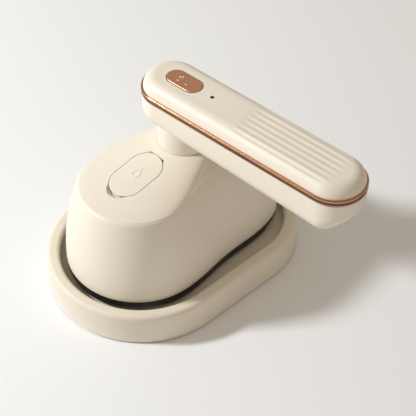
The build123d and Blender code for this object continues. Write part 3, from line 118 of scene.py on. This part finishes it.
class StageSettings(bpy.types.PropertyGroup):
    """Floor, lights and camera."""

    floor: colour("Floor", "Pale floor", (0.885, 0.89, 0.90))
    sky: colour("Sky", "Soft fill from the room", (1.0, 0.90, 0.76))
    sky_strength: bpy.props.FloatProperty(name="Fill", description="Strength of the room's fill light",
                                          default=0.44, min=0.0)
    key_power: bpy.props.FloatProperty(name="Key", description="Power of the main window light in watts",
                                       default=12.0, min=0.0)
    key_size: length("Key size", "Side of the main light", 0.14)
    azimuth: bpy.props.FloatProperty(name="Azimuth", description="Camera's turn round the iron",
                                     subtype="ANGLE", default=math.radians(-43.3))
    elevation: bpy.props.FloatProperty(name="Elevation", description="Camera's height above level",
                                       subtype="ANGLE", default=math.radians(44.9))
    distance: length("Distance", "Camera's distance from its target", 0.8295)
    lens: bpy.props.FloatProperty(name="Lens", description="Focal length in millimetres", default=129.8,
                                  min=1.0)


# ---------------------------------------------------------------- shader groups
def new_group(name, inputs, outputs):
    """A shader node group with named sockets; returns the group and its two end nodes."""
    group = bpy.data.node_groups.new(name, "ShaderNodeTree")
    for label, kind, value in inputs:
        socket = group.interface.new_socket(label, in_out="INPUT", socket_type=kind)
        socket.default_value = value
    for label, kind in outputs:
        group.interface.new_socket(label, in_out="OUTPUT", socket_type=kind)
    return group, group.nodes.new("NodeGroupInput"), group.nodes.new("NodeGroupOutput")


def math_node(nodes, operation, **values):
    """A Math node with its constants set by socket number, as v0 or v1."""
    node = nodes.new("ShaderNodeMath")
    node.operation = operation
    for key, value in values.items():
        node.inputs[int(key[1:])].default_value = value
    return node


def mould_grain_group():
    """Fine satin grain of a moulded surface, with a faint tone change from place to place."""
    group, start, end = new_group(
        "Mould grain",
        [("Color", "NodeSocketColor", (0.8, 0.8, 0.8, 1)), ("Grain size", "NodeSocketFloat", 0.0004),
         ("Tone", "NodeSocketFloat", 0.03), ("Roughness", "NodeSocketFloat", 0.42)],
        [("Color", "NodeSocketColor"), ("Roughness", "NodeSocketFloat"), ("Height", "NodeSocketFloat")])
    nodes, links = group.nodes, group.links
    place = nodes.new("ShaderNodeTexCoord")
    scale = math_node(nodes, "DIVIDE", v0=1.0)
    links.new(start.outputs["Grain size"], scale.inputs[1])
    grain = nodes.new("ShaderNodeTexNoise")
    grain.inputs["Detail"].default_value = 3.0
    grain.inputs["Roughness"].default_value = 0.6
    links.new(place.outputs["Object"], grain.inputs["Vector"])
    links.new(scale.outputs[0], grain.inputs["Scale"])
    cloud = nodes.new("ShaderNodeTexNoise")
    cloud.inputs["Scale"].default_value = 34.0
    cloud.inputs["Detail"].default_value = 2.0
    links.new(place.outputs["Object"], cloud.inputs["Vector"])
    lift = nodes.new("ShaderNodeMapRange")
    lift.inputs["To Min"].default_value = 0.0
    lift.inputs["To Max"].default_value = 1.0
    links.new(cloud.outputs["Fac"], lift.inputs["Value"])
    amount = math_node(nodes, "MULTIPLY")
    links.new(lift.outputs["Result"], amount.inputs[0])
    links.new(start.outputs["Tone"], amount.inputs[1])
    darker = nodes.new("ShaderNodeMix")
    darker.data_type = "RGBA"
    darker.blend_type = "MULTIPLY"
    darker.inputs["B"].default_value = (0.80, 0.74, 0.66, 1)
    links.new(amount.outputs[0], darker.inputs["Factor"])
    links.new(start.outputs["Color"], darker.inputs["A"])
    links.new(darker.outputs["Result"], end.inputs["Color"])
    rough = math_node(nodes, "MULTIPLY_ADD", v1=0.14)
    links.new(grain.outputs["Fac"], rough.inputs[0])
    links.new(start.outputs["Roughness"], rough.inputs[2])
    links.new(rough.outputs[0], end.inputs["Roughness"])
    links.new(grain.outputs["Fac"], end.inputs["Height"])
    return group


def edge_wear_group():
    """A mask of a part's outer edges, broken up by noise, for rubbed corners."""
    group, start, end = new_group(
        "Edge wear",
        [("Sharpness", "NodeSocketFloat", 0.52), ("Break up", "NodeSocketFloat", 900.0)],
        [("Mask", "NodeSocketFloat")])
    nodes, links = group.nodes, group.links
    shape = nodes.new("ShaderNodeNewGeometry")
    edge = nodes.new("ShaderNodeMapRange")
    edge.inputs["From Max"].default_value = 0.62
    links.new(start.outputs["Sharpness"], edge.inputs["From Min"])
    links.new(shape.outputs["Pointiness"], edge.inputs["Value"])
    place = nodes.new("ShaderNodeTexCoord")
    specks = nodes.new("ShaderNodeTexNoise")
    links.new(place.outputs["Object"], specks.inputs["Vector"])
    links.new(start.outputs["Break up"], specks.inputs["Scale"])
    both = math_node(nodes, "MULTIPLY")
    links.new(edge.outputs["Result"], both.inputs[0])
    links.new(specks.outputs["Fac"], both.inputs[1])
    links.new(both.outputs[0], end.inputs["Mask"])
    return group


def brushed_group():
    """Fine brushed lines along one direction of a metal surface."""
    group, start, end = new_group(
        "Brushed lines",
        [("Along", "NodeSocketVector", (40.0, 3000.0, 3000.0)), ("Roughness", "NodeSocketFloat", 0.3),
         ("Spread", "NodeSocketFloat", 0.15)],
        [("Roughness", "NodeSocketFloat"), ("Height", "NodeSocketFloat")])
    nodes, links = group.nodes, group.links
    place = nodes.new("ShaderNodeTexCoord")
    stretch = nodes.new("ShaderNodeVectorMath")
    stretch.operation = "MULTIPLY"
    links.new(place.outputs["Object"], stretch.inputs[0])
    links.new(start.outputs["Along"], stretch.inputs[1])
    lines = nodes.new("ShaderNodeTexNoise")
    lines.inputs["Scale"].default_value = 1.0
    lines.inputs["Detail"].default_value = 4.0
    links.new(stretch.outputs["Vector"], lines.inputs["Vector"])
    rough = math_node(nodes, "MULTIPLY_ADD")
    links.new(lines.outputs["Fac"], rough.inputs[0])
    links.new(start.outputs["Spread"], rough.inputs[1])
    links.new(start.outputs["Roughness"], rough.inputs[2])
    links.new(rough.outputs[0], end.inputs["Roughness"])
    links.new(lines.outputs["Fac"], end.inputs["Height"])
    return group


# ---------------------------------------------------------------- finishes
def new_finish(name):
    """A material with its Principled shader; returns the material, its tree and the shader."""
    material = bpy.data.materials.new(name)
    material.use_nodes = True
    tree = material.node_tree
    return material, tree, tree.nodes["Principled BSDF"]


def add_bump(tree, shader, height, depth):
    """A Bump node of a given depth in metres between a height and the shader's normal."""
    bump = tree.nodes.new("ShaderNodeBump")
    bump.inputs["Strength"].default_value = 1.0
    bump.inputs["Distance"].default_value = depth
    tree.links.new(height, bump.inputs["Height"])
    tree.links.new(bump.outputs["Normal"], shader.inputs["Normal"])


def use_group(tree, name, **values):
    """One of the shared node groups, placed in a material with its own values."""
    node = tree.nodes.new("ShaderNodeGroup")
    node.node_tree = bpy.data.node_groups[name]
    for key, value in values.items():
        node.inputs[key.replace("_", " ")].default_value = value
    return node


def rub_edges(tree, tinted, worn):
    """Mixes a worn colour into the tinted one along the part's edges; returns the new colour socket."""
    wear = use_group(tree, "Edge wear")
    rubbed = tree.nodes.new("ShaderNodeMix")
    rubbed.data_type = "RGBA"
    rubbed.inputs["B"].default_value = worn
    tree.links.new(wear.outputs["Mask"], rubbed.inputs["Factor"])
    tree.links.new(tinted, rubbed.inputs["A"])
    return rubbed.outputs["Result"]


def moulded(name, base, rough=0.42, grain=0.0004, depth=0.00001, tone=0.25, worn=None,
            metal=0.0):
    """Moulded plastic, rubber or smooth plating: grain, faint tone changes and, where given, rubbed edges."""
    material, tree, shader = new_finish(name)
    texture = use_group(tree, "Mould grain", Color=base, Grain_size=grain, Tone=tone, Roughness=rough)
    tinted = texture.outputs["Color"]
    if worn:
        tinted = rub_edges(tree, tinted, worn)
    tree.links.new(tinted, shader.inputs["Base Color"])
    tree.links.new(texture.outputs["Roughness"], shader.inputs["Roughness"])
    shader.inputs["Specular IOR Level"].default_value = 0.5
    shader.inputs["Metallic"].default_value = metal
    if depth:
        add_bump(tree, shader, texture.outputs["Height"], depth)
    return material


def brushed(name, base, rough=0.3, spread=0.15, along=(40.0, 3000.0, 3000.0), worn=None):
    """Metal with fine directional lines and lighter rubbed edges."""
    material, tree, shader = new_finish(name)
    lines = use_group(tree, "Brushed lines", Along=along, Roughness=rough, Spread=spread)
    tone = use_group(tree, "Mould grain", Color=base, Grain_size=0.0009, Tone=0.35, Roughness=rough)
    tinted = tone.outputs["Color"]
    if worn:
        tinted = rub_edges(tree, tinted, worn)
    tree.links.new(tinted, shader.inputs["Base Color"])
    tree.links.new(lines.outputs["Roughness"], shader.inputs["Roughness"])
    shader.inputs["Metallic"].default_value = 1.0
    add_bump(tree, shader, lines.outputs["Height"], 0.000004)
    return material


def clear_plastic(name, base):
    """Translucent moulding with a faint cloudiness."""
    material, tree, shader = new_finish(name)
    texture = use_group(tree, "Mould grain", Color=base, Grain_size=0.002, Tone=0.2, Roughness=0.12)
    tree.links.new(texture.outputs["Color"], shader.inputs["Base Color"])
    tree.links.new(texture.outputs["Roughness"], shader.inputs["Roughness"])
    shader.inputs["Transmission Weight"].default_value = 0.75
    shader.inputs["IOR"].default_value = 1.49
    add_bump(tree, shader, texture.outputs["Height"], 0.00001)
    return material


def braided(name, base):
    """Woven sleeve: two crossing sets of fine bands."""
    material, tree, shader = new_finish(name)
    place = tree.nodes.new("ShaderNodeTexCoord")
    crossing = None
    for slant in (0.9, -0.9):
        turn = tree.nodes.new("ShaderNodeMapping")
        turn.inputs["Rotation"].default_value = (0.0, slant, 0.6)
        tree.links.new(place.outputs["Object"], turn.inputs["Vector"])
        bands = tree.nodes.new("ShaderNodeTexWave")
        bands.inputs["Scale"].default_value = 420.0
        bands.inputs["Distortion"].default_value = 0.4
        tree.links.new(turn.outputs["Vector"], bands.inputs["Vector"])
        if crossing:
            weave = math_node(tree.nodes, "MAXIMUM")
            tree.links.new(crossing, weave.inputs[0])
            tree.links.new(bands.outputs["Fac"], weave.inputs[1])
            crossing = weave.outputs[0]
        else:
            crossing = bands.outputs["Fac"]
    shade = tree.nodes.new("ShaderNodeMix")
    shade.data_type = "RGBA"
    shade.inputs["A"].default_value = tuple(channel * 0.4 for channel in base[:3]) + (1,)
    shade.inputs["B"].default_value = base
    tree.links.new(crossing, shade.inputs["Factor"])
    tree.links.new(shade.outputs["Result"], shader.inputs["Base Color"])
    shader.inputs["Roughness"].default_value = 0.75
    add_bump(tree, shader, crossing, 0.0002)
    return material


def paint(nodes, material):
    """Gives CAD nodes a finish and smooth shading."""
    for name in nodes:
        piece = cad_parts[name]
        piece.data.materials.clear()
        piece.data.materials.append(material)
        piece.data.shade_smooth()


def settings():
    """The four groups of settings on the scene."""
    scene = bpy.context.scene
    return scene.iron_plastic, scene.iron_metal, scene.iron_sole, scene.iron_stage


# ---------------------------------------------------------------- operators
class IRON_OT_finishes(bpy.types.Operator):
    """Make the shared shader groups that every finish is built from"""

    bl_idname = "iron.finishes"
    bl_label = "Shader groups"

    def execute(self, context):
        mould_grain_group()
        edge_wear_group()
        brushed_group()
        return {"FINISHED"}


class IRON_OT_tray(bpy.types.Operator):
    """Finish the cradle tray, its base plate, pads and screws"""

    bl_idname = "iron.tray"
    bl_label = "Cradle tray"

    def execute(self, context):
        plastic, metal, sole, _ = settings()
        tray = moulded("tray plastic", plastic.tray, plastic.roughness + 0.06, plastic.grain,
                       worn=(0.86, 0.80, 0.70, 1))
        paint(["tray_shell", "base_plate"], tray)
        paint(["base_pad", "rest_pads"], moulded("grey silicone", sole.silicone, 0.6, 0.0007, 0.00002))
        paint(["tray_screws"], brushed("zinc tray screws", metal.steel, 0.28))
        return {"FINISHED"}


class IRON_OT_sole(bpy.types.Operator):
    """Finish the soleplate, skirt, heater and steam chamber"""

    bl_idname = "iron.sole"
    bl_label = "Soleplate and heater"

    def execute(self, context):
        _, metal, sole, _ = settings()
        coat = moulded("sole coating", sole.coating, 0.22, 0.0003, 0.000006, worn=(0.20, 0.20, 0.20, 1))
        paint(["soleplate"], coat)
        paint(["sole_skirt"], moulded("skirt plastic", sole.skirt, 0.32, 0.0005, 0.00001,
                                      worn=(0.09, 0.085, 0.08, 1)))
        paint(["heater_element"], brushed("heater sheath", (0.30, 0.26, 0.24, 1), 0.42))
        paint(["steam_gasket"], moulded("gasket silicone", sole.silicone, 0.65, 0.0006, 0.00002))
        paint(["steam_cover", "heat_shield"], brushed("rolled aluminium", (0.78, 0.78, 0.77, 1), 0.34,
                                                      along=(3000.0, 60.0, 3000.0)))
        paint(["cover_screws", "shield_screws", "skirt_screws", "shield_spacers"],
              brushed("zinc plating", metal.steel, 0.3))
        paint(["thermostat"], moulded("thermostat bakelite", (0.02, 0.018, 0.016, 1), 0.35))
        paint(["thermal_fuse"], moulded("fuse ceramic", (0.75, 0.73, 0.68, 1), 0.5))
        return {"FINISHED"}


class IRON_OT_body(bpy.types.Operator):
    """Finish the body shell, lip ring, filler well and water tank"""

    bl_idname = "iron.body"
    bl_label = "Body shell and tank"

    def execute(self, context):
        plastic, metal, sole, _ = settings()
        shell = moulded("shell plastic", plastic.shell, plastic.roughness, plastic.grain,
                        worn=RUBBED_CREAM)
        paint(["body_shell", "lip_ring", "filler_well", "filler_flap", "flap_emblem"], shell)
        paint(["water_tank"], clear_plastic("tank plastic", (0.86, 0.90, 0.92, 1)))
        paint(["filler_sleeve", "feed_tube", "filler_seal"],
              moulded("seal silicone", sole.silicone, 0.55, 0.0006, 0.00002))
        paint(["flap_pin", "pivot_post", "post_screws", "stop_pin", "retaining_clip", "wave_washer"],
              brushed("ground steel", metal.steel, 0.24))
        paint(["wiring_loom"], braided("braided sleeve", (0.05, 0.05, 0.05, 1)))
        return {"FINISHED"}


class IRON_OT_handle(bpy.types.Operator):
    """Finish the handle's shells, band, cord socket and inner fittings"""

    bl_idname = "iron.handle"
    bl_label = "Handle"

    def execute(self, context):
        plastic, metal, sole, _ = settings()
        grip = moulded("handle plastic", plastic.shell, plastic.roughness - 0.04, plastic.grain,
                       worn=RUBBED_CREAM)
        paint(["handle_lower", "handle_upper", "neck_sleeve", "screw_plugs"], grip)
        paint(["trim_band"], moulded("rose-gold plating", metal.band, 0.16, 0.004, 0.0, 0.12, metal=1.0))
        paint(["trim_inlay"], moulded("band line", (0.012, 0.010, 0.009, 1), 0.3))
        paint(["pivot_bush", "status_led"], moulded("white bearing plastic", (0.78, 0.78, 0.74, 1), 0.35))
        paint(["handle_screws", "neck_screws", "board_screws"], brushed("zinc screws", metal.steel, 0.3))
        paint(["circuit_board"], moulded("board laminate", (0.03, 0.14, 0.05, 1), 0.3, 0.0006))
        paint(["tact_switch"], moulded("switch plastic", (0.02, 0.02, 0.02, 1), 0.4))
        paint(["led_lens"], moulded("smoked lens", (0.02, 0.015, 0.012, 1), 0.1, 0.002))
        paint(["cord_inlet"], moulded("socket plastic", plastic.shell, 0.45))
        paint(["inlet_ring"], brushed("brass ring", metal.brass, 0.16))
        return {"FINISHED"}


class IRON_OT_button(bpy.types.Operator):
    """Finish the copper power button"""

    bl_idname = "iron.button"
    bl_label = "Power button"

    def execute(self, context):
        _, metal, _, _ = settings()
        copper = brushed("copper anodising", metal.button, 0.36, 0.12, worn=(0.72, 0.42, 0.28, 1))
        paint(["power_button"], copper)
        self.add_icons(brushed("engraved icon", (0.90, 0.66, 0.52, 1), 0.3))
        return {"FINISHED"}

    def add_icons(self, finish):
        """Two plain icons in thin raised lines: a power ring with its stroke, and a lock."""
        low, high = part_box("power_button")
        centre = Vector(((low.x + high.x) / 2, (low.y + high.y) / 2, high.z))
        ring_turns = (math.radians(RING_GAP_HALF + RING_STEP * step) for step in range(RING_POINTS))
        ring = [(RING_ALONG + RING_RADIUS * math.sin(a), RING_RADIUS * math.cos(a)) for a in ring_turns]
        shackle_turns = (math.radians(SHACKLE_STEP * step) for step in range(SHACKLE_POINTS))
        shackle = [(SHACKLE_ALONG + SHACKLE_RADIUS * math.cos(a), LOCK_TOP + SHACKLE_RADIUS * math.sin(a))
                   for a in shackle_turns]
        left, right = SHACKLE_ALONG - LOCK_HALF, SHACKLE_ALONG + LOCK_HALF
        lock = [(left, LOCK_TOP), (right, LOCK_TOP), (right, LOCK_BOTTOM), (left, LOCK_BOTTOM),
                (left, LOCK_TOP)]
        strokes = (ring, [(RING_ALONG, 0.4), (RING_ALONG, 2.3)], shackle, lock,
                   [(SHACKLE_ALONG, -0.3), (SHACKLE_ALONG, -1.1)])
        curve = bpy.data.curves.new("button_icons", "CURVE")
        curve.dimensions = "3D"
        curve.bevel_depth = ICON_LINE * MM
        curve.bevel_resolution = 2
        curve.use_fill_caps = True
        for points in strokes:
            line = curve.splines.new("POLY")
            line.points.add(len(points) - 1)
            for point, (along, across) in zip(line.points, points):
                point.co = (across * MM, -along * MM, 0.0, 1.0)
        line_object = bpy.data.objects.new("button_icons", curve)
        bpy.context.scene.collection.objects.link(line_object)
        line_object.location = centre
        line_object.rotation_euler = (0, 0, HANDLE_TURN)
        bpy.context.view_layer.update()
        mesh = bpy.data.meshes.new_from_object(line_object)
        icons = bpy.data.objects.new("button_icon_lines", mesh)
        bpy.context.scene.collection.objects.link(icons)
        icons.matrix_world = line_object.matrix_world.copy()
        bpy.data.objects.remove(line_object)
        bpy.data.curves.remove(curve)
        mesh.materials.clear()
        mesh.materials.append(finish)
        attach(icons, "button")


class IRON_OT_stage(bpy.types.Operator):
    """Make the pale floor, the soft studio light and the camera"""

    bl_idname = "iron.stage"
    bl_label = "Floor, light and camera"

    def execute(self, context):
        stage = context.scene.iron_stage
        bpy.ops.mesh.primitive_plane_add(size=FLOOR_SIZE, location=(0, 0, 0))
        floor = context.object
        floor.name = "studio_floor"
        material, tree, shader = new_finish("studio floor")
        shader.inputs["Base Color"].default_value = stage.floor
        shader.inputs["Roughness"].default_value = FLOOR_ROUGHNESS
        floor.data.materials.append(material)
        world = bpy.data.worlds.new("studio room")
        world.use_nodes = True
        fill = world.node_tree.nodes["Background"]
        fill.inputs["Color"].default_value = stage.sky
        fill.inputs["Strength"].default_value = stage.sky_strength
        context.scene.world = world
        context.scene.view_settings.view_transform = "Standard"
        self.add_light("window light", WINDOW_PLACE, stage.key_power, stage.key_size, WINDOW_TINT)
        self.add_camera(context, stage)
        return {"FINISHED"}

    def add_light(self, name, place, power, size, tint):
        """A square area light aimed at the iron."""
        lamp = bpy.data.lights.new(name, "AREA")
        lamp.energy = power
        lamp.size = size
        lamp.color = tint
        holder = bpy.data.objects.new(name, lamp)
        bpy.context.scene.collection.objects.link(holder)
        holder.location = place
        holder.rotation_euler = (-place).to_track_quat("-Z", "Y").to_euler()

    def add_camera(self, context, stage):
        """A long lens looking down at the iron over its nose and handle side."""
        camera = bpy.data.objects.new("studio camera", bpy.data.cameras.new("studio camera"))
        context.scene.collection.objects.link(camera)
        tray_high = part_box("tray_shell")[1]
        target = Vector((tray_high.x - TARGET_INSET, TARGET_SIDE, 0.0))
        back = Vector((math.sin(stage.azimuth) * math.cos(stage.elevation),
                       -math.cos(stage.azimuth) * math.cos(stage.elevation), math.sin(stage.elevation)))
        camera.location = target + back * stage.distance
        camera.rotation_euler = (-back).to_track_quat("-Z", "Y").to_euler()
        camera.data.lens = stage.lens
        camera.data.sensor_width = SENSOR_WIDTH
        context.scene.camera = camera


class IRON_PT_panel(bpy.types.Panel):
    """Lists the steps that build the iron's looks"""

    bl_idname = "IRON_PT_panel"
    bl_label = "Travel steam iron"
    bl_space_type = "VIEW_3D"
    bl_region_type = "UI"
    bl_category = "Iron"

    def draw(self, context):
        for group in settings():
            box = self.layout.box()
            for name in group.bl_rna.properties.keys():
                if name not in ("rna_type", "name"):
                    box.prop(group, name)
        for step in STEPS:
            self.layout.operator(step.bl_idname)


SETTINGS = {"iron_plastic": PlasticSettings, "iron_metal": MetalSettings, "iron_sole": SoleSettings,
            "iron_stage": StageSettings}
STEPS = (IRON_OT_finishes, IRON_OT_stage, IRON_OT_tray, IRON_OT_sole, IRON_OT_body, IRON_OT_handle,
         IRON_OT_button)


def register():
    """Adds the settings, operators and panel to Blender."""
    for group in SETTINGS.values():
        bpy.utils.register_class(group)
    for name, group in SETTINGS.items():
        setattr(bpy.types.Scene, name, bpy.props.PointerProperty(type=group))
    for step in STEPS:
        bpy.utils.register_class(step)
    bpy.utils.register_class(IRON_PT_panel)


def unregister():
    """Takes them away again."""
    bpy.utils.unregister_class(IRON_PT_panel)
    for step in reversed(STEPS):
        bpy.utils.unregister_class(step)
    for name, group in SETTINGS.items():
        delattr(bpy.types.Scene, name)
        bpy.utils.unregister_class(group)


def main():
    """Builds every piece in order."""
    register()
    for step in STEPS:
        family, action = step.bl_idname.split(".")
        getattr(getattr(bpy.ops, family), action)()


if __name__ == "__main__":
    main()
